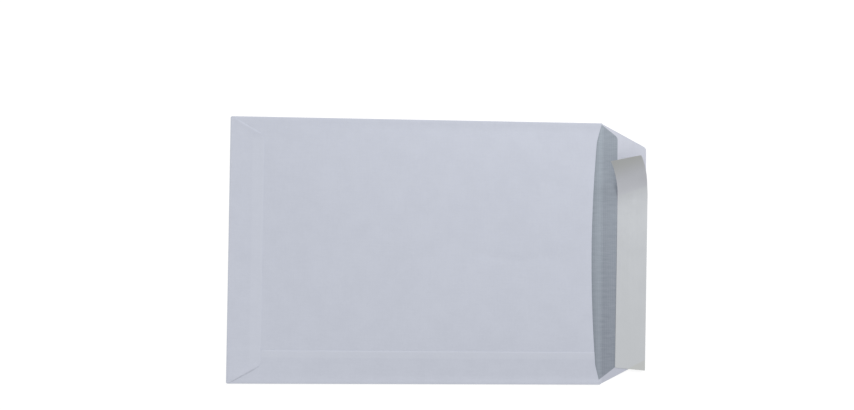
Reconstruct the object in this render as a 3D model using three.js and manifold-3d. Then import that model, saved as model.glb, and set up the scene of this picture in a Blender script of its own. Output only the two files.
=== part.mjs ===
// Pocket envelope with a peel-and-seal closing flap, lying on its address side.
// Sizes are in millimetres and angles in degrees.
// X runs from the closed end to the mouth, Y across the width, Z up from the address side.
import * as THREE from 'three';
import { mergeVertices } from 'three/addons/utils/BufferGeometryUtils.js';
import Module from 'manifold-3d';

// Closed envelope
const envelopeLength = 324; // bottom fold to mouth fold
const envelopeWidth = 229; // side fold to side fold
const paperThickness = 0.15;
const foldGap = 0.5; // clear height inside the plain side fold
const gumDepth = 0.05; // how far two gummed layers sink into each other
const edgeSetback = 1.2; // a covered paper edge stops this far inside a fold

// Pocket
const pocketRise = 7; // how far the back panel stands up in the middle of the mouth
const pocketLand = 6; // flat margin of the back panel beside each side fold
const crownPower = 2.4; // how squarely the back panel is crowned across its width
const crownGrowth = 3; // how early the crown rises from the bottom flap towards the mouth

// Throat, the back panel's free edge at the mouth
const throatInset = 10.7; // behind the mouth fold, at mid width
const throatEndInset = 5.5; // behind the mouth fold, where the curve meets the shoulders
const throatShoulder = 17; // width of each slanted shoulder
const throatFoldInset = 0.6; // behind the mouth fold, at the side folds

// Side flap, gummed along the back panel
const sideFlapWidth = 28.8;
const lapRamp = 1.5; // run over which the bottom flap climbs the side flap

// Bottom flap, gummed over the back panel and the side flap
const bottomFlapDepth = 29;
const bottomFlapStraight = 2.5; // depth of the straight root before the slanted ends
const bottomFlapTaper = 0.56; // width lost at each end for each millimetre of depth
const bottomFlapCorner = 6;

// Closing flap, folded out level with the address side
const closingFlapDepth = 38.5;
const closingFlapSetback = 1.5; // from a side fold to the flap's root
const closingFlapTaper = 0.535;
const closingFlapCorner = 4;
const closingFlapLift = 3; // angle above the address side
const creaseRun = 1.2; // run over which the paper turns up at the mouth fold

// Adhesive band and its release strip on the closing flap
const stripWidth = 26.3;
const stripThickness = 0.08;
const stripOverhang = 1.1; // beyond the flap's free edge
const stripEndOverhang = 2.4; // beyond each end of the flap's free edge
const stripShift = -5.7; // how far the strip sits off the middle of the flap, along Y
const stripAskew = 0.5; // angle at which the strip is stuck on askew
const stripEndSkew = 2.2; // how much lower the strip's ends are cut at its outer edge
const bandThickness = 0.05;
const bandInnerMargin = 3; // from the strip's inner edge to the adhesive
const bandEdgeMargin = 1.2; // from the flap's free edge to the adhesive
const bandEndMargin = 4; // from the flap's slanted ends and the strip's upper end to the adhesive
const layerClearance = 0.05;

// Peeled end of the release strip
const peelLength = 42;
const peelPitch = 37; // slope of the strip at its free end
const peelYaw = 34; // turn of the free end towards the closed end
const peelRoll = 29.5; // twist of the free end
const peelPitchGrowth = 0.5; // how early the strip turns up along the peel
const peelTurnGrowth = 1.1; // how late it turns and twists

// Facets
const crownStepsLong = 24;
const crownStepsAcross = 30;
const foldSteps = 5;
const creaseSteps = 4;
const cornerSteps = 6;
const throatSteps = 20;
const sideFlapSteps = 5;
const rampSteps = 3;
const stripStepsFlat = 6;
const stripStepsPeeled = 28;
const peelStep = 0.5; // step along the peeled strip's middle line
const stripStepsAcross = 6;

// Stack of layers: a gummed layer adds its thickness less the shared gum depth.
const layerPitch = paperThickness - gumDepth;
const backBottom = paperThickness + foldGap;
const lapBottom = backBottom + layerPitch;
const plainFoldRadius = foldGap / 2 + paperThickness;
const lapFoldRadius = (lapBottom + paperThickness) / 2;
const foldLeg = edgeSetback / 2;

const halfLength = envelopeLength / 2;
const halfWidth = envelopeWidth / 2;
const seamY = -halfWidth + sideFlapWidth;
const bottomFlapEdge = -halfLength + bottomFlapDepth;
const backPanelEnd = -halfLength + edgeSetback;
const sideFlapEnd = backPanelEnd + lapRamp;
const closingFlapHalf = halfWidth - closingFlapSetback;
const closingEdgeHalf = closingFlapHalf - closingFlapTaper * closingFlapDepth;
const stripInner = closingFlapDepth + stripOverhang - stripWidth;
const stripHalf = closingEdgeHalf + stripEndOverhang;
const peelStart = stripShift + stripHalf - peelLength;
const up = new THREE.Vector3(0, 0, 1);
const { clamp, degToRad } = THREE.MathUtils;

const wasm = await Module();
wasm.setup();

function solidOf(geometry) {
  const bare = geometry.clone();
  bare.deleteAttribute('normal');
  bare.deleteAttribute('uv');
  const merged = mergeVertices(bare);
  return new wasm.Manifold(new wasm.Mesh({
    numProp: 3,
    vertProperties: new Float32Array(merged.attributes.position.array),
    triVerts: new Uint32Array(merged.index.array),
  }));
}

function geometryOf(solid) {
  const mesh = solid.getMesh();
  const geometry = new THREE.BufferGeometry();
  geometry.setAttribute('position', new THREE.BufferAttribute(mesh.vertProperties, 3));
  geometry.setIndex(new THREE.BufferAttribute(mesh.triVerts, 1));
  geometry.computeVertexNormals();
  return geometry;
}

function steps(first, last, count) {
  return Array.from({ length: count + 1 }, (_, i) => first + (last - first) * i / count);
}

function smooth(share) {
  const s = clamp(share, 0, 1);
  return s * s * (3 - 2 * s);
}

// A closed sheet over a grid of values: place(u, v, side) gives each corner, side 0 below and 1 above.
function sheetGeometry(uValues, vValues, place) {
  const uLast = uValues.length - 1;
  const vLast = vValues.length - 1;
  const geometry = new THREE.BoxGeometry(1, 1, 1, uLast, vLast, 1);
  const position = geometry.attributes.position;
  for (let i = 0; i < position.count; i += 1) {
    const u = uValues[Math.round((position.getX(i) + 0.5) * uLast)];
    const v = vValues[Math.round((position.getY(i) + 0.5) * vLast)];
    const corner = place(u, v, position.getZ(i) > 0 ? 1 : 0);
    position.setXYZ(i, corner.x, corner.y, corner.z);
  }
  // The lower face takes the upper face's diagonals, so a twisted sheet keeps its thickness.
  const lower = geometry.groups[5];
  for (let i = lower.start; i < lower.start + lower.count; i += 6) {
    const [a, b, d, , c] = geometry.index.array.slice(i, i + 6);
    geometry.index.array.set([a, b, c, a, c, d], i);
  }
  return geometry;
}

// A panel of paper with its underside at bottomAt(x, y), trimmed to a flat outline.
function paperPanel(xValues, yValues, bottomAt, outline) {
  const sheet = sheetGeometry(xValues, yValues, (x, y, side) => (
    new THREE.Vector3(x, y, bottomAt(x, y) + side * paperThickness)
  ));
  const trimDepth = 4 * (pocketRise + closingFlapDepth);
  const trim = new THREE.ExtrudeGeometry(outline, {
    depth: trimDepth,
    bevelEnabled: false,
    curveSegments: cornerSteps,
  });
  trim.translate(0, 0, -trimDepth / 2);
  return solidOf(sheet).intersect(solidOf(trim));
}

// Section of a fold: a half round of paper standing on z = 0 that bulges out along +X,
// with a short leg back into each of the two panels that it joins.
function foldSection(radius) {
  const section = new THREE.Shape();
  section.moveTo(-foldLeg, 0);
  section.absarc(0, radius, radius, -Math.PI / 2, Math.PI / 2, false);
  section.lineTo(-foldLeg, 2 * radius);
  section.lineTo(-foldLeg, 2 * radius - paperThickness);
  section.absarc(0, radius, radius - paperThickness, Math.PI / 2, -Math.PI / 2, true);
  section.lineTo(-foldLeg, paperThickness);
  section.closePath();
  return section;
}

// A straight fold that starts at a point and bulges out the given way.
function fold(radius, run, out, start) {
  const along = out.clone().cross(up);
  const geometry = new THREE.ExtrudeGeometry(foldSection(radius), {
    depth: run,
    bevelEnabled: false,
    curveSegments: foldSteps,
  });
  geometry.applyMatrix4(new THREE.Matrix4().makeBasis(out, up, along));
  geometry.translate(start.x, start.y, start.z);
  return solidOf(geometry);
}

// Height that the pocket's crown adds to the back panel.
function crownAt(x, y) {
  const across = 1 - Math.min(1, Math.abs(y) / (halfWidth - pocketLand)) ** crownPower;
  const along = clamp((x - bottomFlapEdge) / (halfLength - bottomFlapEdge), 0, 1);
  return pocketRise * across * (1 - (1 - along) ** crownGrowth);
}

// Height of the closing flap beyond the mouth fold.
function flapRise(x) {
  const slope = Math.tan(degToRad(closingFlapLift));
  const run = Math.max(0, x - halfLength);
  return run < creaseRun ? slope * run * run / (2 * creaseRun) : slope * (run - creaseRun / 2);
}

// Slanted ends, rounded corners and free edge of a flap that reaches towards +X from its root.
function addFlapEdge(outline, rootX, rootHalf, straight, depth, taper, corner) {
  const slant = Math.atan(taper);
  const edgeHalf = rootHalf - taper * (depth - straight);
  const centreX = rootX + depth - corner;
  const centreY = edgeHalf + corner * taper - corner / Math.cos(slant);
  outline.lineTo(rootX + straight, -rootHalf);
  outline.absarc(centreX, -centreY, corner, slant - Math.PI / 2, 0, false);
  outline.absarc(centreX, centreY, corner, 0, Math.PI / 2 - slant, false);
  outline.lineTo(rootX + straight, rootHalf);
}

// Front panel with the closing flap folded out of it.
function frontPanel() {
  const closed = -halfLength + lapFoldRadius;
  const low = -halfWidth + lapFoldRadius;
  const high = halfWidth - plainFoldRadius;
  const outline = new THREE.Shape();
  outline.moveTo(closed, low);
  outline.lineTo(halfLength, low);
  addFlapEdge(outline, halfLength, closingFlapHalf, 0, closingFlapDepth, closingFlapTaper, closingFlapCorner);
  outline.lineTo(halfLength, high);
  outline.lineTo(closed, high);
  outline.closePath();
  const crease = steps(halfLength, halfLength + creaseRun, creaseSteps);
  const xValues = [-halfLength, ...crease, halfLength + 2 * closingFlapDepth];
  return paperPanel(xValues, [-halfWidth, halfWidth], flapRise, outline);
}

// Outline that trims the panels behind the mouth to the throat's hollow curve and slanted shoulders.
function throatOutline() {
  const shoulderY = halfWidth - throatShoulder;
  const sag = throatInset - throatEndInset;
  const radius = (shoulderY * shoulderY + sag * sag) / (2 * sag);
  const sweep = Math.asin(shoulderY / radius);
  const centreX = halfLength - throatInset + radius;
  const foldX = halfLength - throatFoldInset;
  const outline = new THREE.Shape();
  outline.moveTo(-halfLength, -halfWidth);
  outline.lineTo(foldX, -halfWidth);
  for (const angle of steps(-sweep, sweep, throatSteps)) {
    outline.lineTo(centreX - radius * Math.cos(angle), radius * Math.sin(angle));
  }
  outline.lineTo(foldX, halfWidth);
  outline.lineTo(-halfLength, halfWidth);
  outline.closePath();
  return outline;
}

function backPanel() {
  const crown = steps(bottomFlapEdge, halfLength, crownStepsLong);
  const xValues = [backPanelEnd, ...crown];
  const yValues = steps(-halfWidth + edgeSetback, halfWidth - plainFoldRadius, crownStepsAcross);
  return paperPanel(xValues, yValues, (x, y) => backBottom + crownAt(x, y), throatOutline());
}

function sideFlap() {
  const crown = steps(bottomFlapEdge, halfLength, crownStepsLong);
  const xValues = [sideFlapEnd, ...crown];
  const yValues = steps(-halfWidth + lapFoldRadius, seamY, sideFlapSteps);
  return paperPanel(xValues, yValues, (x, y) => lapBottom + crownAt(x, y), throatOutline());
}

// The bottom flap lies on the back panel and climbs one layer where the side flap is under it.
function bottomFlap() {
  const root = -halfLength + lapFoldRadius;
  const rootHalf = halfWidth - edgeSetback;
  const outline = new THREE.Shape();
  outline.moveTo(root, -rootHalf);
  addFlapEdge(outline, -halfLength, rootHalf, bottomFlapStraight, bottomFlapDepth, bottomFlapTaper,
    bottomFlapCorner);
  outline.lineTo(root, rootHalf);
  outline.closePath();
  const xValues = [root, ...steps(backPanelEnd, sideFlapEnd, rampSteps), halfLength];
  const yValues = [-halfWidth, ...steps(seamY, seamY + lapRamp, rampSteps), halfWidth];
  const bottomAt = (x, y) => (
    lapBottom + layerPitch * smooth((x - backPanelEnd) / lapRamp) * smooth((seamY + lapRamp - y) / lapRamp)
  );
  return paperPanel(xValues, yValues, bottomAt, outline);
}

// The folded blank: panels, flaps and the three folds that join them, gummed into one sheet.
function paperSheet() {
  const mouth = halfLength - throatFoldInset;
  const plainStart = new THREE.Vector3(backPanelEnd, halfWidth - plainFoldRadius, 0);
  const seamStart = new THREE.Vector3(mouth, -halfWidth + lapFoldRadius, 0);
  const endStart = new THREE.Vector3(-halfLength + lapFoldRadius, -halfWidth + edgeSetback, 0);
  const pieces = [
    backPanel(),
    sideFlap(),
    bottomFlap(),
    fold(plainFoldRadius, mouth - plainStart.x, new THREE.Vector3(0, 1, 0), plainStart),
    fold(lapFoldRadius, mouth - sideFlapEnd, new THREE.Vector3(0, -1, 0), seamStart),
    fold(lapFoldRadius, -2 * endStart.y, new THREE.Vector3(-1, 0, 0), endStart),
  ];
  const sheet = pieces.reduce((whole, piece) => whole.add(piece), frontPanel());
  return geometryOf(sheet);
}

// The adhesive band in the closing flap's frame: it keeps inside the flap's ends and the release strip.
function adhesiveBand() {
  const inner = stripInner + bandInnerMargin;
  const outer = closingFlapDepth - bandEdgeMargin;
  const halfAt = (run) => closingFlapHalf - closingFlapTaper * run - bandEndMargin;
  const highAt = (run) => Math.min(halfAt(run), stripShift + stripHalf - bandEndMargin);
  const outline = new THREE.Shape();
  outline.moveTo(inner, -halfAt(inner));
  outline.lineTo(outer, -halfAt(outer));
  outline.lineTo(outer, highAt(outer));
  outline.lineTo(inner, highAt(inner));
  outline.closePath();
  return new THREE.ExtrudeGeometry(outline, { depth: bandThickness, bevelEnabled: false });
}

// Directions of the peeled strip at a distance from the line where it leaves the adhesive.
function peelDirections(run) {
  const share = Math.max(0, run) / peelLength;
  const pitch = degToRad(peelPitch) * share ** peelPitchGrowth;
  const roll = degToRad(peelRoll) * share ** peelTurnGrowth;
  const yaw = degToRad(peelYaw) * share ** peelTurnGrowth;
  const along = new THREE.Vector3(-Math.sin(yaw), Math.cos(yaw), 0).multiplyScalar(Math.cos(pitch));
  along.z = Math.sin(pitch);
  const across = new THREE.Vector3(Math.cos(yaw), Math.sin(yaw), 0).applyAxisAngle(along, -roll);
  return { along, across, normal: across.clone().cross(along) };
}

// Point on the strip's middle line at a distance from where it leaves the adhesive.
function peelPoint(run) {
  const count = Math.max(1, Math.ceil(run / peelStep));
  const point = new THREE.Vector3();
  for (let i = 0; i < count; i += 1) {
    point.addScaledVector(peelDirections(run * (i + 0.5) / count).along, run / count);
  }
  return point;
}

// The release strip in the closing flap's frame: flat on the adhesive, then peeled up in a curl.
function releaseStrip() {
  const flat = steps(stripShift - stripHalf, peelStart, stripStepsFlat);
  const peeled = steps(peelStart, stripShift + stripHalf, stripStepsPeeled).slice(1);
  const widths = steps(-stripWidth / 2, stripWidth / 2, stripStepsAcross);
  return sheetGeometry(widths, [...flat, ...peeled], (v, u, side) => {
    const run = u - peelStart - stripEndSkew * v / stripWidth;
    const { across, normal } = peelDirections(run);
    const point = peelPoint(run);
    point.addScaledVector(across, v);
    point.addScaledVector(normal, side * stripThickness);
    point.x += stripInner + stripWidth / 2;
    point.y += peelStart;
    return point;
  });
}

function namedMesh(name, geometry, color, roughness) {
  const mesh = new THREE.Mesh(geometry, new THREE.MeshStandardMaterial({ color, roughness, metalness: 0 }));
  mesh.name = name;
  return mesh;
}

const envelope = new THREE.Group();
envelope.add(namedMesh('paper_sheet', paperSheet(), 0xc4c8d3, 0.85));

// The closing flap's frame: X runs out from the mouth fold, Z stands square to the flap.
const closingFlap = new THREE.Group();
closingFlap.position.x = halfLength;
closingFlap.rotation.y = -degToRad(closingFlapLift);

const band = namedMesh('adhesive_band', adhesiveBand(), 0xd4d6da, 0.25);
band.position.z = paperThickness + layerClearance;

const strip = namedMesh('release_strip', releaseStrip(), 0xc2c6c8, 0.45);
strip.position.z = band.position.z + bandThickness + layerClearance;
strip.rotation.z = -degToRad(stripAskew);

closingFlap.add(band, strip);
envelope.add(closingFlap);

export default envelope;
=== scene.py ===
import math

import bmesh
import bpy
from mathutils import Matrix, Vector, noise


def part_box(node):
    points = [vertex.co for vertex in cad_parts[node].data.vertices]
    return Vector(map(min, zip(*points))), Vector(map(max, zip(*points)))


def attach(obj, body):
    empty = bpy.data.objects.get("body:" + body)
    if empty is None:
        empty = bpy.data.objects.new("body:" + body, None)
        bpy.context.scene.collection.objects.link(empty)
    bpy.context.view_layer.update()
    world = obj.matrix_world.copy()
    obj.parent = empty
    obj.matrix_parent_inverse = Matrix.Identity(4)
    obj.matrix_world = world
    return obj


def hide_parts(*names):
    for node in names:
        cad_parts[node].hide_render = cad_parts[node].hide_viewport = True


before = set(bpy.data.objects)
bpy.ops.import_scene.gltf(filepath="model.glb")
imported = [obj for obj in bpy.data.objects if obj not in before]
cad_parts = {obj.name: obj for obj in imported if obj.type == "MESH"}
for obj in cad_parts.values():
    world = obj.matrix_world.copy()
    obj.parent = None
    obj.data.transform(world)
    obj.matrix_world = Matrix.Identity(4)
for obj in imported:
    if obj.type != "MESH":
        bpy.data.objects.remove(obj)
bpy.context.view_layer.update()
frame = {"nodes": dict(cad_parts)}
print("frame loaded:", ", ".join(frame["nodes"]))

# everything is in metres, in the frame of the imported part:
# +X runs to the mouth and the closing flap, +Y across the width, +Z up from the address side
paperLow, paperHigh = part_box("paper_sheet")
halfLength = -paperLow[0]
halfWidth = paperHigh[1]
flapDepth = paperHigh[0] - halfLength


def smooth(share):
    share = min(1.0, max(0.0, share))
    return share * share * (3 - 2 * share)


def spread(first, last, count):
    return [first + (last - first) * i / count for i in range(count + 1)]


def bell(distance, reach):
    return math.exp(-(distance / reach) ** 2)


# camera, set from the four corners of the envelope in the photograph
cameraSettings = {
    "place": (-0.0464, 0.0161, 0.8669),
    "target": (0.0080, 0.0404, 0.0),
    "rollDegrees": 0.71,
    "focalPixels": 1000.0,
    "imageWidth": 854,
    "sensor": 36.0,
    "clipStart": 0.01,
}


def makeCamera(s):
    data = bpy.data.cameras.new("photoCamera")
    data.sensor_width = s["sensor"]
    data.lens = s["focalPixels"] * s["sensor"] / s["imageWidth"]
    data.clip_start = s["clipStart"]
    camera = bpy.data.objects.new("photoCamera", data)
    back = (Vector(s["place"]) - Vector(s["target"])).normalized()
    right = Vector((0.0, 1.0, 0.0)).cross(back).normalized()
    aim = Matrix((right, back.cross(right), back)).transposed()
    turn = Matrix.Rotation(math.radians(s["rollDegrees"]), 3, "Z")
    camera.matrix_world = Matrix.Translation(s["place"]) @ (aim @ turn).to_4x4()
    bpy.context.scene.collection.objects.link(camera)
    bpy.context.scene.camera = camera


makeCamera(cameraSettings)
print("camera placed")


# small helpers for node materials
def newMaterial(name):
    material = bpy.data.materials.new(name)
    material.use_nodes = True
    tree = material.node_tree
    return material, tree, tree.nodes["Principled BSDF"]


def addNode(tree, kind, **values):
    node = tree.nodes.new(kind)
    for key, value in values.items():
        setattr(node, key, value)
    return node


def mathNode(tree, operation, *values):
    node = addNode(tree, "ShaderNodeMath", operation=operation)
    for socket, value in zip(node.inputs, values):
        if isinstance(value, (int, float)):
            socket.default_value = value
        else:
            tree.links.new(value, socket)
    return node.outputs[0]


def plus(tree, first, second):
    return mathNode(tree, "ADD", first, second)


def minus(tree, first, second):
    return mathNode(tree, "SUBTRACT", first, second)


def times(tree, first, second):
    return mathNode(tree, "MULTIPLY", first, second)


def noiseNode(tree, coordinates, scale, detail=3.0, roughness=0.5):
    node = addNode(tree, "ShaderNodeTexNoise")
    tree.links.new(coordinates, node.inputs["Vector"])
    node.inputs["Scale"].default_value = scale
    node.inputs["Detail"].default_value = detail
    node.inputs["Roughness"].default_value = roughness
    return node.outputs["Fac"]


def mixColour(tree, factor, first, second):
    node = addNode(tree, "ShaderNodeMix", data_type="RGBA")
    tree.links.new(factor, node.inputs["Factor"])
    for socket, value in ((node.inputs[6], first), (node.inputs[7], second)):
        if isinstance(value, (tuple, list)):
            socket.default_value = (*value, 1.0)
        else:
            tree.links.new(value, socket)
    return node.outputs[2]


def softStep(tree, value, low, high):
    node = addNode(tree, "ShaderNodeMapRange", interpolation_type="SMOOTHSTEP")
    tree.links.new(value, node.inputs["Value"])
    node.inputs["From Min"].default_value = low
    node.inputs["From Max"].default_value = high
    return node.outputs["Result"]


def bumpNode(tree, height, distance, below=None):
    node = addNode(tree, "ShaderNodeBump")
    node.inputs["Distance"].default_value = distance
    node.inputs["Strength"].default_value = 1.0
    tree.links.new(height, node.inputs["Height"])
    if below is not None:
        tree.links.new(below, node.inputs["Normal"])
    return node.outputs["Normal"]


def objectSpace(tree):
    node = addNode(tree, "ShaderNodeTexCoord")
    return node.outputs["Object"]


def stretched(tree, coordinates, scale):
    node = addNode(tree, "ShaderNodeMapping")
    tree.links.new(coordinates, node.inputs["Vector"])
    node.inputs["Scale"].default_value = scale
    return node.outputs[0]


def splitAxes(tree, coordinates):
    node = addNode(tree, "ShaderNodeSeparateXYZ")
    tree.links.new(coordinates, node.inputs[0])
    return node.outputs


def linear(*levels):
    # display levels from 0 to 255, as linear colour
    return tuple((v / 255 / 12.92) if v <= 10 else ((v / 255 + 0.055) / 1.055) ** 2.4 for v in levels)


# small helpers for sheets: a grid of points, and its thickness
sharpDegrees = 40


def makeMesh(name, grids, weld=0.0):
    bm = bmesh.new()
    for rows in grids:
        made = [[bm.verts.new(point) for point in row] for row in rows]
        for lower, upper in zip(made, made[1:]):
            for corners in zip(lower, upper, upper[1:], lower[1:]):
                bm.faces.new(corners)
    if weld:
        bmesh.ops.remove_doubles(bm, verts=bm.verts, dist=weld)
    mesh = bpy.data.meshes.new(name)
    bm.to_mesh(mesh)
    bm.free()
    return mesh


def thicken(name, mesh, thickness, materials):
    # gives a middle surface its thickness, half to each side
    # material 0 is on the normal's side, material 1 on the other side and the rim
    source = bpy.data.objects.new(name + "Middle", mesh)
    bpy.context.scene.collection.objects.link(source)
    solid = source.modifiers.new("thickness", "SOLIDIFY")
    solid.thickness = thickness
    solid.offset = 0.0
    solid.material_offset = 1
    solid.material_offset_rim = 1
    for material in materials:
        mesh.materials.append(material)
    bpy.context.view_layer.update()
    whole = bpy.data.meshes.new_from_object(source.evaluated_get(bpy.context.evaluated_depsgraph_get()))
    bpy.data.objects.remove(source)
    whole.name = name
    whole.shade_smooth()
    whole.set_sharp_from_angle(angle=math.radians(sharpDegrees))
    piece = bpy.data.objects.new(name, whole)
    bpy.context.scene.collection.objects.link(piece)
    return piece


# the folded sheet: one blank, folded at both sides, at the closed end and at the mouth
sheetSettings = {
    # paper and folds
    "thickness": 0.00015,
    "foldGap": 0.0005,
    "layerGap": 0.00002,
    "endSetback": 0.0007,
    "lapRamp": 0.0018,
    # crown of the back panel, and the throat cut into it
    "rise": 0.0069,
    "land": 0.006,
    "crownPower": 2.4,
    "crownGrowth": 3.0,
    "throatInset": 0.0107,
    "throatEndInset": 0.0055,
    "throatShoulder": 0.017,
    "throatFoldInset": 0.0006,
    # flaps
    "sideFlapWidth": 0.0288,
    "bottomFlapDepth": 0.029,
    "bottomFlapStraight": 0.0025,
    "bottomFlapTaper": 0.56,
    "bottomFlapCorner": 0.006,
    "closingFlapTaper": 0.535,
    "closingFlapCorner": 0.004,
    "closingLiftDegrees": 3.0,
    "creaseRun": 0.0012,
    "scoreHeight": 0.00009,
    "scoreReach": 0.0007,
    "scoreEnd": 0.006,
    # slack in the back panel, with one shallow dent
    "waveHeight": 0.00022,
    "waveScale": 11.0,
    "waveStretch": 0.7,
    "waveSeed": 3.7,
    "heldSide": 0.03,
    "heldEnd": 0.05,
    "dentDepth": 0.0003,
    "dentPlace": (0.085, -0.006),
    "dentHalf": 0.04,
    "dentReach": 0.004,
    "dentBow": 0.006,
    "dentFade": 1.4,
    # gummed flaps stand a little proud inside their free edges
    "beadRise": 0.0009,
    "beadStart": 0.004,
    "sideBead": 0.00016,
    "sideBeadFall": 0.012,
    "bottomBead": 0.00006,
    "slantBead": 0.0002,
    "slantBlend": 0.004,
    "bottomBeadFall": 0.005,
    "bottomHeld": 0.003,
    "edgeLift": 0.00025,
    "edgeLiftReach": 0.006,
    "edgeLiftSide": 0.02,
    "edgeLiftStart": 0.008,
    # mesh stations
    "stepsLong": 108,
    "stepsAcross": 76,
    "foldSteps": 6,
    "creaseSteps": 4,
    "cornerSteps": 8,
    "closingFlapSteps": 16,
    "bottomFlapSteps": 12,
    "rampSteps": 5,
    "rampClear": 0.0005,
    "sideFlapSteps": 10,
    "throatShares": (0.9963, 0.9981, 1.0),
    "edgeStations": (0.0, 0.0003, 0.0006, 0.0009, 0.0014, 0.0021, 0.003),
    "edgeZone": 0.0042,
    "weld": 0.000001,
    # white paper, with a fine fibre and cloudy formation
    "paperLight": linear(201, 205, 217),
    "paperDark": linear(197, 201, 213),
    "cloudScale": 55.0,
    "cloudShare": 0.45,
    "fleckScale": 420.0,
    "fleckShare": 0.2,
    "fibreLength": 90.0,
    "fibreScale": 900.0,
    "fibreShare": 0.35,
    "mottleRange": (0.35, 0.65),
    "fibreDepth": 0.000012,
    "toothDepth": 0.000014,
    "roughness": 0.78,
    "specular": 0.3,
    # gum that shows through the flaps, painted light along the side flap's gum, and painted shade with the
    # fibre tone along the crease on the address side
    "gumAndPaintedLight": linear(205, 209, 220),
    "gumBlur": 0.001,
    "gumPastEdge": (0.0006, 0.0001),
    "gumEnds": (0.101, 0.092),
    "gumAbove": (0.0004, 0.0006),
    "gumDepth": 0.0098,
    "gumShow": 0.35,
    "seamGumDepth": 0.0065,
    "seamGumAndLightShow": 0.45,
    "creaseShade": linear(184, 188, 200),
    "creaseHalf": 0.0008,
    "creaseCore": 0.3,
    "creaseBelow": (0.0005, 0.0003),
    "creaseShow": 0.7,
    # privacy print inside: fine blue-grey lines over white, with painted shade past the mouth fold and
    # towards the seam side, and a lighter copy of the white paper on the closing flap as painted light
    "ink": linear(158, 169, 179),
    "inkGap": linear(187, 195, 204),
    # painted shade: darker copies of the print, for the closing flap and the seam side
    "shadedInk": linear(119, 125, 136),
    "shadedInkGap": linear(153, 159, 170),
    # painted light: a lighter copy of the white paper for the inside, and painted shade towards the seam
    # side
    "flapLitLight": linear(215, 218, 229),
    "flapLitDark": linear(210, 213, 224),
    "flapShadeLow": linear(189, 192, 204),
    "linePitch": 0.00105,
    "lineShare": 0.5,
    "threadPitch": 0.0016,
    "threadShare": 0.12,
    "lineSoftness": 0.7,
    "wornScale": (120.0, 900.0, 900.0),
    "wornShare": 0.55,
    "inkRange": (0.1, 1.05),
    "foldBlur": 0.0018,
    "lowRange": (-1.6, 1.3),
    "lowShare": 0.6,
    "pastShare": 0.35,
    "printEdge": 0.0133,
    "printSlope": 0.78,
    "printTop": 0.0018,
    "printBottom": 0.0055,
    "printCorner": 0.0035,
    "printBlur": 0.00025,
}


def fibreField(tree, coordinates, s):
    # fibres lying along and across the sheet
    short, long = s["fibreScale"], s["fibreLength"]
    along = noiseNode(tree, stretched(tree, coordinates, (long, short, short)), 1.0, 2.0)
    across = noiseNode(tree, stretched(tree, coordinates, (short, long, short)), 1.0, 2.0)
    return times(tree, plus(tree, along, across), 0.5)


def paperColour(tree, coordinates, s, light, dark):
    cloud = times(tree, noiseNode(tree, coordinates, s["cloudScale"], 4.0, 0.6), s["cloudShare"])
    fleck = times(tree, noiseNode(tree, coordinates, s["fleckScale"], 3.0, 0.6), s["fleckShare"])
    fibre = times(tree, fibreField(tree, coordinates, s), s["fibreShare"])
    mottle = plus(tree, plus(tree, cloud, fleck), fibre)
    return mixColour(tree, softStep(tree, mottle, *s["mottleRange"]), dark, light)


def paperRelief(tree, coordinates, s):
    tooth = bumpNode(tree, noiseNode(tree, coordinates, s["fleckScale"], 4.0, 0.65), s["toothDepth"])
    return bumpNode(tree, fibreField(tree, coordinates, s), s["fibreDepth"], below=tooth)


def finishPaper(tree, shader, coordinates, s, colour):
    tree.links.new(colour, shader.inputs["Base Color"])
    tree.links.new(paperRelief(tree, coordinates, s), shader.inputs["Normal"])
    shader.inputs["Roughness"].default_value = s["roughness"]
    shader.inputs["Specular IOR Level"].default_value = s["specular"]


def gumBand(tree, value, edge, depth, s):
    begun = softStep(tree, value, edge - depth - s["gumBlur"], edge - depth + s["gumBlur"])
    farther, nearer = s["gumPastEdge"]
    return times(tree, begun, softStep(tree, value, edge + farther, edge + nearer))


def gumAndLightField(tree, axes, s):
    # the gum shows through along the free edges of the bottom flap and the side flap, on the seam side only;
    # along the side flap the band is also painted light, lifting the shade where the paper falls towards the
    # seam side
    edge = -halfLength + s["bottomFlapDepth"]
    inside = softStep(tree, mathNode(tree, "ABSOLUTE", axes[1]), *s["gumEnds"])
    bottom = times(tree, gumBand(tree, axes[0], edge, s["gumDepth"], s), inside)
    ahead = softStep(tree, axes[0], edge, edge + s["gumBlur"])
    seam = gumBand(tree, axes[1], -halfWidth + s["sideFlapWidth"], s["seamGumDepth"], s)
    side = times(tree, times(tree, seam, ahead), s["seamGumAndLightShow"])
    both = mathNode(tree, "MAXIMUM", times(tree, bottom, s["gumShow"]), side)
    return times(tree, both, softStep(tree, axes[2], *s["gumAbove"]))


def creaseShadeField(tree, axes, s):
    # painted shade along the score of the mouth fold, on the address side, together with the score's own
    # fibre tone
    away = mathNode(tree, "ABSOLUTE", minus(tree, axes[0], halfLength))
    line = softStep(tree, away, s["creaseHalf"], s["creaseCore"] * s["creaseHalf"])
    under = softStep(tree, axes[2], *s["creaseBelow"])
    return times(tree, times(tree, line, under), s["creaseShow"])


def makePaper(s):
    material, tree, shader = newMaterial("whitePaper")
    coordinates = objectSpace(tree)
    axes = splitAxes(tree, coordinates)
    colour = paperColour(tree, coordinates, s, s["paperLight"], s["paperDark"])
    colour = mixColour(tree, gumAndLightField(tree, axes, s), colour, s["gumAndPaintedLight"])
    colour = mixColour(tree, creaseShadeField(tree, axes, s), colour, s["creaseShade"])
    finishPaper(tree, shader, coordinates, s, colour)
    return material


def lineField(tree, value, pitch, softness):
    turn = mathNode(tree, "SINE", times(tree, value, 2 * math.pi / pitch))
    return softStep(tree, turn, -softness, softness)


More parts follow.
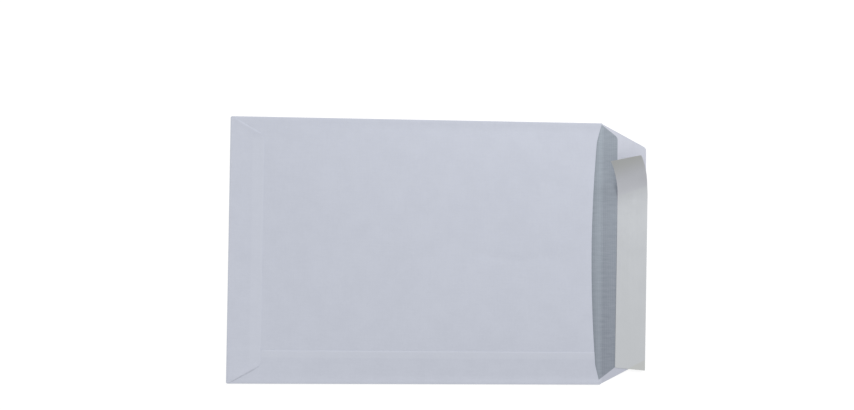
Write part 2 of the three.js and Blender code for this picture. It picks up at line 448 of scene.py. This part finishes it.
def inkField(tree, coordinates, axes, s):
    # lines along the sheet, fainter threads across it, and wear
    lines = times(tree, lineField(tree, axes[1], s["linePitch"], s["lineSoftness"]), s["lineShare"])
    threads = times(tree, lineField(tree, axes[0], s["threadPitch"], s["lineSoftness"]), s["threadShare"])
    worn = times(tree, noiseNode(tree, stretched(tree, coordinates, s["wornScale"]), 1.0), s["wornShare"])
    return softStep(tree, plus(tree, plus(tree, lines, threads), worn), *s["inkRange"])


def printField(tree, axes, s):
    # 1 where the inside is printed: up to a line on the closing flap, with slanted ends
    run = minus(tree, axes[0], halfLength)
    slant = times(tree, run, s["printSlope"])
    inEdge = minus(tree, s["printEdge"], run)
    inTop = minus(tree, minus(tree, halfWidth - s["printTop"], axes[1]), slant)
    inLow = minus(tree, plus(tree, axes[1], halfWidth - s["printBottom"]), slant)
    ends = mathNode(tree, "MINIMUM", inTop, inLow)
    printed = mathNode(tree, "SMOOTH_MIN", inEdge, ends, s["printCorner"])
    return softStep(tree, printed, -s["printBlur"], s["printBlur"])


def makePrint(s):
    material, tree, shader = newMaterial("printedInside")
    coordinates = objectSpace(tree)
    axes = splitAxes(tree, coordinates)
    ink = inkField(tree, coordinates, axes, s)
    tint = mixColour(tree, ink, s["inkGap"], s["ink"])
    # painted shade: the print darkens towards the seam side, and more past the mouth fold
    shadedTint = mixColour(tree, ink, s["shadedInkGap"], s["shadedInk"])
    past = softStep(tree, axes[0], halfLength - s["foldBlur"], halfLength + s["foldBlur"])
    first, last = s["lowRange"]
    low = softStep(tree, times(tree, axes[1], -1.0), first * halfWidth, last * halfWidth)
    shade = plus(tree, times(tree, low, s["lowShare"]), times(tree, past, s["pastShare"]))
    tint = mixColour(tree, shade, tint, shadedTint)
    # painted light: the inside's white is a lighter copy of the paper, and painted shade darkens it on the
    # flap towards the seam side
    white = paperColour(tree, coordinates, s, s["flapLitLight"], s["flapLitDark"])
    white = mixColour(tree, times(tree, past, low), white, s["flapShadeLow"])
    colour = mixColour(tree, printField(tree, axes, s), white, tint)
    finishPaper(tree, shader, coordinates, s, colour)
    return material


def flapRuns(depth, corner, count, cornerSteps):
    # stations along a flap, close together round its corners
    straight = spread(0.0, depth - corner, count)
    turns = [math.pi / 2 * i / cornerSteps for i in range(1, cornerSteps + 1)]
    return straight + [depth - corner + corner * math.sin(turn) for turn in turns]


def foldArc(radius, count):
    # the turn of a fold, as distance outwards and height
    return [(radius * math.sin(a), radius * (1 - math.cos(a))) for a in spread(0.0, math.pi, count)]


class FoldedSheet:
    # heights are those of the middle of the paper's thickness

    def __init__(self, s):
        self.s = s
        t = s["thickness"]
        self.layer = t + s["layerGap"]
        self.frontZ = t / 2
        self.backZ = t + s["foldGap"] + t / 2
        self.lapZ = self.backZ + self.layer
        self.plainRadius = (self.backZ - self.frontZ) / 2
        self.lapRadius = (self.lapZ - self.frontZ) / 2
        self.highY = halfWidth - self.plainRadius - t / 2
        self.lowY = -halfWidth + self.lapRadius + t / 2
        self.closedX = -halfLength + self.lapRadius + t / 2
        self.seamY = -halfWidth + s["sideFlapWidth"]
        self.bottomEdge = -halfLength + s["bottomFlapDepth"]
        self.rootHalf = halfWidth - s["endSetback"]
        self.foldStart = -halfLength + s["endSetback"]
        self.foldEnd = halfLength - s["throatFoldInset"]
        # stations along the folds and across the flaps, closer together at free edges
        self.shares = spread(0.0, 1.0, s["stepsLong"])[:-1] + list(s["throatShares"])
        self.foldXs = [self.foldStart + (self.foldEnd - self.foldStart) * share for share in self.shares]
        plainHalf = self.rootHalf - s["edgeZone"]
        self.rootYs = [d - self.rootHalf for d in s["edgeStations"]]
        self.rootYs += spread(-plainHalf, plainHalf, s["stepsAcross"])
        self.rootYs += [self.rootHalf - d for d in reversed(s["edgeStations"])]

    def crown(self, x, y):
        s = self.s
        across = 1 - min(1.0, abs(y) / (halfWidth - s["land"])) ** s["crownPower"]
        along = min(1.0, max(0.0, (x - self.bottomEdge) / (halfLength - self.bottomEdge)))
        return s["rise"] * across * (1 - (1 - along) ** s["crownGrowth"])

    def wave(self, x, y):
        # slack in the paper, none where it is held by a fold or a gummed lap
        s = self.s
        held = smooth((halfWidth - s["land"] - abs(y)) / s["heldSide"])
        held *= smooth((x - self.bottomEdge) / s["heldEnd"])
        place = Vector((x * s["waveScale"], y * s["waveScale"] * s["waveStretch"], s["waveSeed"]))
        slack = noise.fractal(place, 0.8, 2.2, 3)
        dx = x - s["dentPlace"][0]
        dy = y - s["dentPlace"][1] - s["dentBow"] * (dx / s["dentHalf"]) ** 2
        dent = bell(dy, s["dentReach"]) * smooth(s["dentFade"] - abs(dx) / s["dentHalf"])
        return held * (s["waveHeight"] * slack - s["dentDepth"] * dent)

    def backAt(self, x, y):
        return self.backZ + self.crown(x, y) + self.wave(x, y)

    def bead(self, inwards, height, fall):
        rise = self.s["beadRise"]
        return height * smooth(inwards / rise) * smooth(1 - (inwards - rise) / fall)

    def sideAt(self, x, y):
        s = self.s
        clear = smooth((x - self.bottomEdge) / s["beadStart"])
        proud = self.bead(self.seamY - y, s["sideBead"], s["sideBeadFall"])
        return self.backAt(x, y) + self.layer + clear * proud

    def bottomAt(self, x, y):
        s = self.s
        # the flap climbs on to the side flap
        over = smooth((x - self.foldStart) / s["lapRamp"])
        over *= smooth((self.seamY + s["lapRamp"] - y) / s["lapRamp"])
        run = x + halfLength
        inwards = self.bottomEdge - x
        slanted = self.rootHalf - s["bottomFlapTaper"] * (run - s["bottomFlapStraight"]) - abs(y)
        slanted = max(0.0, slanted) / math.sqrt(1 + s["bottomFlapTaper"] ** 2)
        # the slanted edge at the seam side stands up a little
        lift = s["edgeLift"] * smooth(1 - slanted / s["edgeLiftReach"]) * smooth(-y / s["edgeLiftSide"])
        blend = smooth((inwards - slanted) / s["slantBlend"])
        height = s["bottomBead"] + (s["slantBead"] - s["bottomBead"]) * blend
        proud = self.bead(min(inwards, slanted), height, s["bottomBeadFall"])
        proud += lift * smooth(inwards / s["edgeLiftStart"])
        return self.lapZ + self.layer * over + smooth((run - s["bottomHeld"]) / s["beadStart"]) * proud

    def frontAt(self, x, y):
        # the front panel and the closing flap, with the score of the mouth fold standing up inside
        s = self.s
        slope = math.tan(math.radians(s["closingLiftDegrees"]))
        run = x - halfLength
        score = bell(run, s["scoreReach"]) * smooth((self.rootHalf - abs(y)) / s["scoreEnd"])
        if run < 0:
            rise = 0.0
        elif run < s["creaseRun"]:
            rise = slope * run * run / (2 * s["creaseRun"])
        else:
            rise = slope * (run - s["creaseRun"] / 2)
        return self.frontZ + rise + s["scoreHeight"] * score

    def throatAt(self, y):
        s = self.s
        shoulder = halfWidth - s["throatShoulder"]
        if abs(y) > shoulder:
            share = (abs(y) - shoulder) / (halfWidth - shoulder)
            return halfLength - s["throatEndInset"] - (s["throatFoldInset"] - s["throatEndInset"]) * share
        sag = s["throatInset"] - s["throatEndInset"]
        radius = (shoulder * shoulder + sag * sag) / (2 * sag)
        return halfLength - s["throatInset"] + radius - math.sqrt(radius * radius - y * y)

    def towardsThroat(self, y, share):
        return self.foldStart + (self.throatAt(y) - self.foldStart) * share

    def flapHalf(self, run, straight, depth, taper, corner):
        # half the width of a flap with slanted ends and rounded corners, at a distance from its root
        edgeHalf = self.rootHalf - taper * (depth - straight)
        slant = math.atan(taper)
        centreRun = depth - corner
        centreY = edgeHalf + corner * taper - corner / math.cos(slant)
        touch = centreRun + corner * math.sin(slant)
        if run <= touch:
            return self.rootHalf - taper * max(0.0, run - straight)
        return centreY + math.sqrt(max(0.0, corner * corner - (run - centreRun) ** 2))

    def frontRows(self):
        xs = [self.closedX] + self.foldXs + [halfLength]
        ys = [self.lowY] + self.rootYs + [self.highY]
        return [[(x, y, self.frontAt(x, y)) for y in ys] for x in xs]

    def closingRows(self):
        s = self.s
        flap = (0.0, flapDepth, s["closingFlapTaper"], s["closingFlapCorner"])
        outer = flapRuns(flapDepth, s["closingFlapCorner"], s["closingFlapSteps"], s["cornerSteps"])
        runs = spread(0.0, s["creaseRun"], s["creaseSteps"]) + [r for r in outer if r > s["creaseRun"]]
        rows = []
        for run in runs:
            x = halfLength + run
            scale = self.flapHalf(run, *flap) / self.rootHalf
            rows.append([(x, y * scale, self.frontAt(x, y)) for y in self.rootYs])
        return rows

    def backRows(self):
        # the plain side fold and the back panel
        s = self.s
        turn = foldArc(self.plainRadius, s["foldSteps"])
        ys = spread(self.highY, -halfWidth + s["endSetback"], s["stepsAcross"])[1:]
        rows = []
        for share, foldX in zip(self.shares, self.foldXs):
            row = [(foldX, self.highY + out, self.frontZ + up) for out, up in turn]
            for y in ys:
                x = self.towardsThroat(y, share)
                row.append((x, y, self.backAt(x, y)))
            rows.append(row)
        return rows

    def sideRows(self):
        # the side flap, from its free edge to the seam side's fold
        s = self.s
        turn = foldArc(self.lapRadius, s["foldSteps"])
        ys = [self.seamY - d for d in s["edgeStations"]]
        ys += spread(self.seamY - s["edgeZone"], self.lowY, s["sideFlapSteps"])[:-1]
        rows = []
        for share, foldX in zip(self.shares, self.foldXs):
            row = []
            for y in ys:
                x = self.towardsThroat(y, share)
                row.append((x, y, self.sideAt(x, y)))
            row += [(foldX, self.lowY - out, self.frontZ + up) for out, up in reversed(turn)]
            rows.append(row)
        return rows

    def bottomRows(self):
        # the bottom flap, from its free edge to the end fold
        s = self.s
        turn = foldArc(self.lapRadius, s["foldSteps"])
        flap = (s["bottomFlapStraight"], s["bottomFlapDepth"], s["bottomFlapTaper"], s["bottomFlapCorner"])
        fromRoot = self.closedX + halfLength
        runs = spread(fromRoot, fromRoot + 2 * s["lapRamp"], s["rampSteps"])
        clear = runs[-1] + s["rampClear"]
        outer = flapRuns(s["bottomFlapDepth"], s["bottomFlapCorner"], s["bottomFlapSteps"], s["cornerSteps"])
        runs += [r for r in outer if r > clear]
        rows = []
        for run in reversed(runs):
            x = -halfLength + run
            scale = self.flapHalf(run, *flap) / self.rootHalf
            rows.append([(x, y * scale, self.bottomAt(x, y * scale)) for y in self.rootYs])
        for out, up in reversed(turn[:-1]):
            rows.append([(self.closedX - out, y, self.frontZ + up) for y in self.rootYs])
        return rows


def makeSheetMesh(s):
    sheet = FoldedSheet(s)
    grids = [sheet.frontRows(), sheet.closingRows(), sheet.backRows(), sheet.sideRows(), sheet.bottomRows()]
    return makeMesh("foldedSheet", grids, s["weld"])


whitePaper = makePaper(sheetSettings)
printedInside = makePrint(sheetSettings)
sheetPiece = thicken("foldedSheet", makeSheetMesh(sheetSettings), sheetSettings["thickness"],
                     [printedInside, whitePaper])
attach(sheetPiece, "root")
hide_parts("paper_sheet")
print("folded sheet made:", len(sheetPiece.data.polygons), "faces")


# the closing flap's own frame: out from the mouth fold, across, and square to the flap
def onFlap(out, across, above):
    lift = math.radians(sheetSettings["closingLiftDegrees"])
    x = halfLength + out * math.cos(lift) - above * math.sin(lift)
    return Vector((x, across, out * math.sin(lift) + above * math.cos(lift)))


# the adhesive: a clear film on the closing flap
filmSettings = {
    "innerEdge": 0.0163,
    "upperEnd": 0.0851,
    "edgeMargin": 0.0012,
    "rootMargin": 0.0015,
    "endMargin": 0.004,
    "above": 0.00018,
    "thickness": 0.00005,
    "stepsAcross": 10,
    "stepsLong": 60,
    "wavePlace": (300, 120, 0.5),
    "waveHeight": 0.000012,
    "colour": linear(248, 249, 251),
    "alpha": 0.03,
    "roughness": 0.18,
    "rippleScale": 160.0,
    "rippleDepth": 0.00005,
}


def makeFilmMesh(s):
    waveOut, waveAcross, waveSeed = s["wavePlace"]
    rows = []
    for out in spread(s["innerEdge"], flapDepth - s["edgeMargin"], s["stepsAcross"]):
        half = halfWidth - s["rootMargin"] - sheetSettings["closingFlapTaper"] * out - s["endMargin"]
        high = min(half, s["upperEnd"])
        row = []
        for across in spread(-half, high, s["stepsLong"]):
            wave = s["waveHeight"] * noise.noise(Vector((out * waveOut, across * waveAcross, waveSeed)))
            row.append(onFlap(out, across, s["above"] + s["thickness"] / 2 + wave))
        rows.append(row)
    return makeMesh("adhesiveFilm", [rows])


def makeFilmMaterial(s):
    material, tree, shader = newMaterial("clearAdhesive")
    coordinates = objectSpace(tree)
    ripple = noiseNode(tree, coordinates, s["rippleScale"], 3.0, 0.6)
    tree.links.new(bumpNode(tree, ripple, s["rippleDepth"]), shader.inputs["Normal"])
    shader.inputs["Base Color"].default_value = (*s["colour"], 1.0)
    shader.inputs["Roughness"].default_value = s["roughness"]
    shader.inputs["Alpha"].default_value = s["alpha"]
    return material


clearAdhesive = makeFilmMaterial(filmSettings)
filmPiece = thicken("adhesiveFilm", makeFilmMesh(filmSettings), filmSettings["thickness"],
                    [clearAdhesive, clearAdhesive])
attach(filmPiece, "root")
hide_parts("adhesive_band")
print("adhesive film made")


# the release strip: stuck down at its lower end, peeled up and turned at its upper end
stripSettings = {
    # the strip lying flat
    "width": 0.0263,
    "thickness": 0.00008,
    "overhang": 0.0011,
    "half": 0.0948,
    "shift": -0.0057,
    "askewDegrees": 0.5,
    "endSkew": 0.0022,
    "above": 0.00029,
    # the peeled end
    "peelLength": 0.042,
    "peelStep": 0.001,
    "pitchDegrees": 37.0,
    "yawDegrees": 34.0,
    "rollDegrees": 29.5,
    "pitchGrowth": 0.5,
    "turnGrowth": 1.1,
    # the bend at its start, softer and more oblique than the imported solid's
    "bendSlope": 0.6,
    "bendRound": 0.006,
    "bendHold": 0.008,
    "bendFade": 0.022,
    "bendBlur": 0.003,
    "bendSamples": 16,
    "bendStep": 0.0005,
    # faint waves
    "slack": 0.00012,
    "slackPlace": (60, 40, 1.3),
    "ripple": 0.0001,
    "ripplePitch": 0.0145,
    "rippleStart": 3,
    # mesh stations
    "stepsFlat": 60,
    "stepsPeeled": 80,
    "stepsAcross": 18,
    # release paper: its plain side and its coated side
    "light": linear(202, 205, 209),
    "dark": linear(197, 200, 204),
    "coated": linear(203, 205, 204),
    "mottleRange": (0.35, 0.65),
    "cloudScale": 55.0,
    "cloudShare": 0.7,
    "streakScale": (420.0, 14.0, 14.0),
    "streakShare": 0.3,
    "grainScale": 260.0,
    "grainDepth": 0.000010,
    "roughness": 0.42,
    "coatedRoughness": 0.28,
    "specular": 0.4,
    # painted shade along the strip: darker towards its lower end, past the peel line and towards the peeled
    # end
    "low": linear(193, 196, 199),
    "lowRange": (-0.06, 0.11),
    "lowShare": 0.8,
    "frontPlace": (0.1867, 0.0543),
    "frontSlope": 0.38,
    "lifted": linear(197, 199, 205),
    "liftedRange": (-0.001, 0.0015),
    "end": linear(183, 185, 184),
    "endRange": (0.012, 0.031),
    "overhangShade": linear(191, 193, 192),
    "overhangInset": (0.0018, 0.0010),
}


def peelFrame(s, run):
    share = max(0.0, run) / s["peelLength"]
    pitch = math.radians(s["pitchDegrees"]) * share ** s["pitchGrowth"]
    yaw = math.radians(s["yawDegrees"]) * share ** s["turnGrowth"]
    roll = math.radians(s["rollDegrees"]) * share ** s["turnGrowth"]
    along = Vector((-math.sin(yaw) * math.cos(pitch), math.cos(yaw) * math.cos(pitch), math.sin(pitch)))
    across = Matrix.Rotation(-roll, 3, along) @ Vector((math.cos(yaw), math.sin(yaw), 0.0))
    return along, across, across.cross(along)


def peelPoint(s, run):
    count = max(1, math.ceil(run / s["peelStep"]))
    point = Vector((0.0, 0.0, 0.0))
    for i in range(count):
        point += peelFrame(s, run * (i + 0.5) / count)[0] * (run / count)
    return point


class PeelBend:
    # moves the start of the bend out along an oblique line and rounds it

    def __init__(self, s):
        self.s = s
        self.heights = [0.0]
        # a little past the strip's end, for the rounding
        for i in range(math.ceil(1.5 * s["peelLength"] / s["bendStep"])):
            along = peelFrame(s, (i + 0.5) * s["bendStep"])[0]
            self.heights.append(self.heights[-1] + along[2] * s["bendStep"])

    def heightAt(self, run):
        place = max(0.0, run) / self.s["bendStep"]
        i = int(place)
        return self.heights[i] + (self.heights[i + 1] - self.heights[i]) * (place - i)

    def liftAt(self, run, offset):
        s = self.s
        hold = smooth(1 - (run - s["bendHold"]) / s["bendFade"])
        lean = (offset + math.hypot(offset, s["bendRound"]) - s["bendRound"]) / 2
        eased = run - s["bendSlope"] * lean * hold
        near = [self.heightAt(eased + d) for d in spread(-s["bendBlur"], s["bendBlur"], s["bendSamples"])]
        return hold * (sum(near) / len(near) - self.heightAt(run))


def stripWave(s, offset, station, run):
    slackOffset, slackStation, slackSeed = s["slackPlace"]
    place = Vector((offset * slackOffset, station * slackStation, slackSeed))
    slack = s["slack"] * smooth(run / s["peelLength"]) * noise.noise(place)
    ripple = math.sin(2 * math.pi * (run - s["frontSlope"] * offset) / s["ripplePitch"])
    return slack + s["ripple"] * smooth(s["rippleStart"] * run / s["peelLength"]) * ripple


def makeStripMesh(s):
    bend = PeelBend(s)
    inner = flapDepth + s["overhang"] - s["width"]
    low, high = s["shift"] - s["half"], s["shift"] + s["half"]
    peelStart = high - s["peelLength"]
    askew = Matrix.Rotation(-math.radians(s["askewDegrees"]), 3, "Z")
    stations = spread(low, peelStart, s["stepsFlat"]) + spread(peelStart, high, s["stepsPeeled"])[1:]
    rows = []
    for offset in spread(-s["width"] / 2, s["width"] / 2, s["stepsAcross"]):
        row = []
        for station in stations:
            run = station - peelStart - s["endSkew"] * offset / s["width"]
            along, across, normal = peelFrame(s, run)
            wave = stripWave(s, offset, station, run)
            point = peelPoint(s, run) + across * offset + normal * (s["thickness"] / 2 + wave)
            point += Vector((inner + s["width"] / 2, peelStart, s["above"] + bend.liftAt(run, offset)))
            row.append(onFlap(*(askew @ point)))
        rows.append(row)
    return makeMesh("releaseStrip", [rows])


def makeStripMaterial(name, s, light, roughness):
    material, tree, shader = newMaterial(name)
    coordinates = objectSpace(tree)
    axes = splitAxes(tree, coordinates)
    cloud = times(tree, noiseNode(tree, coordinates, s["cloudScale"], 4.0, 0.6), s["cloudShare"])
    streak = noiseNode(tree, stretched(tree, coordinates, s["streakScale"]), 1.0, 3.0)
    mottle = plus(tree, cloud, times(tree, streak, s["streakShare"]))
    colour = mixColour(tree, softStep(tree, mottle, *s["mottleRange"]), s["dark"], light)
    # painted shade: darker towards the strip's lower end
    down = softStep(tree, times(tree, axes[1], -1.0), *s["lowRange"])
    colour = mixColour(tree, times(tree, down, s["lowShare"]), colour, s["low"])
    # painted shade: past the line where it leaves the adhesive the strip is darkened, more towards its end,
    # for the shade on the peeled end and for the white paper that no longer shows through it
    frontX, frontY = s["frontPlace"]
    rise = times(tree, minus(tree, axes[0], frontX), s["frontSlope"])
    ahead = minus(tree, minus(tree, axes[1], frontY), rise)
    colour = mixColour(tree, softStep(tree, ahead, *s["liftedRange"]), colour, s["lifted"])
    colour = mixColour(tree, softStep(tree, ahead, *s["endRange"]), colour, s["end"])
    # painted shade too past the flap's slanted lower end, where no white paper shows through
    run = minus(tree, axes[0], halfLength)
    past = minus(tree, times(tree, run, sheetSettings["closingFlapTaper"]), axes[1])
    first, last = s["overhangInset"]
    past = softStep(tree, past, halfWidth - first, halfWidth - last)
    colour = mixColour(tree, past, colour, s["overhangShade"])
    tree.links.new(colour, shader.inputs["Base Color"])
    grain = noiseNode(tree, coordinates, s["grainScale"], 4.0, 0.6)
    tree.links.new(bumpNode(tree, grain, s["grainDepth"]), shader.inputs["Normal"])
    shader.inputs["Roughness"].default_value = roughness
    shader.inputs["Specular IOR Level"].default_value = s["specular"]
    return material


releasePaper = makeStripMaterial("releasePaper", stripSettings, stripSettings["light"],
                                 stripSettings["roughness"])
releaseCoat = makeStripMaterial("releaseCoat", stripSettings, stripSettings["coated"],
                                stripSettings["coatedRoughness"])
stripPiece = thicken("releaseStrip", makeStripMesh(stripSettings), stripSettings["thickness"],
                     [releasePaper, releaseCoat])
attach(stripPiece, "root")
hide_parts("release_strip")
print("release strip made")


# floor, lamp and world
stageSettings = {
    "floorHalf": 4.0,
    "floorDrop": 0.00015,
    "floorColour": (0.36, 0.36, 0.36),
    "floorGlow": 0.738,
    "bounceColour": (0.8, 0.8, 0.8),
    "keyPlace": (1.1, 1.85, 1.25),
    "keySize": 0.9,
    "keyPower": 26.0,
    "worldColour": (1.0, 1.0, 1.0),
    "worldStrength": 0.733,
}


def seenRays(tree):
    # 1 for the rays that show the background: from the camera, in reflections and through clear film
    path = addNode(tree, "ShaderNodeLightPath")
    seen = mathNode(tree, "MAXIMUM", path.outputs["Is Camera Ray"], path.outputs["Is Glossy Ray"])
    return mathNode(tree, "MAXIMUM", seen, path.outputs["Is Transmission Ray"])


def chooseShader(tree, unseen, seen, surface):
    choice = addNode(tree, "ShaderNodeMixShader")
    tree.links.new(seenRays(tree), choice.inputs[0])
    tree.links.new(unseen.outputs[0], choice.inputs[1])
    tree.links.new(seen.outputs[0], choice.inputs[2])
    tree.links.new(choice.outputs[0], surface)


def makeFloorMaterial(s):
    material = bpy.data.materials.new("paleFloor")
    material.use_nodes = True
    tree = material.node_tree
    tree.nodes.clear()
    out = addNode(tree, "ShaderNodeOutputMaterial")
    # seen, the floor glows up to white and keeps the shadow; unseen, it is a plain pale floor
    shadowed = addNode(tree, "ShaderNodeBsdfDiffuse")
    shadowed.inputs["Color"].default_value = (*s["floorColour"], 1.0)
    glow = addNode(tree, "ShaderNodeEmission")
    glow.inputs["Strength"].default_value = s["floorGlow"]
    white = addNode(tree, "ShaderNodeAddShader")
    tree.links.new(shadowed.outputs[0], white.inputs[0])
    tree.links.new(glow.outputs[0], white.inputs[1])
    bounce = addNode(tree, "ShaderNodeBsdfDiffuse")
    bounce.inputs["Color"].default_value = (*s["bounceColour"], 1.0)
    chooseShader(tree, bounce, white, out.inputs["Surface"])
    return material


def makeFloor(s):
    half = s["floorHalf"]
    mesh = bpy.data.meshes.new("floor")
    corners = [(-half, -half), (half, -half), (half, half), (-half, half)]
    mesh.from_pydata([(x, y, -s["floorDrop"]) for x, y in corners], [], [(0, 1, 2, 3)])
    mesh.materials.append(makeFloorMaterial(s))
    floor = bpy.data.objects.new("floor", mesh)
    bpy.context.scene.collection.objects.link(floor)


def makeLamp(s):
    data = bpy.data.lights.new("keyLamp", "AREA")
    data.size = s["keySize"]
    data.energy = s["keyPower"]
    lamp = bpy.data.objects.new("keyLamp", data)
    lamp.location = s["keyPlace"]
    lamp.rotation_euler = (-Vector(s["keyPlace"])).to_track_quat("-Z", "Y").to_euler()
    bpy.context.scene.collection.objects.link(lamp)


def makeWorld(s):
    world = bpy.data.worlds.new("studio")
    world.use_nodes = True
    tree = world.node_tree
    fill = tree.nodes["Background"]
    fill.inputs["Color"].default_value = (*s["worldColour"], 1.0)
    fill.inputs["Strength"].default_value = s["worldStrength"]
    white = addNode(tree, "ShaderNodeBackground")
    white.inputs["Color"].default_value = (*s["worldColour"], 1.0)
    chooseShader(tree, fill, white, tree.nodes["World Output"].inputs["Surface"])
    bpy.context.scene.world = world


makeFloor(stageSettings)
makeLamp(stageSettings)
makeWorld(stageSettings)
bpy.context.scene.view_settings.view_transform = "Standard"
print("stage lit")
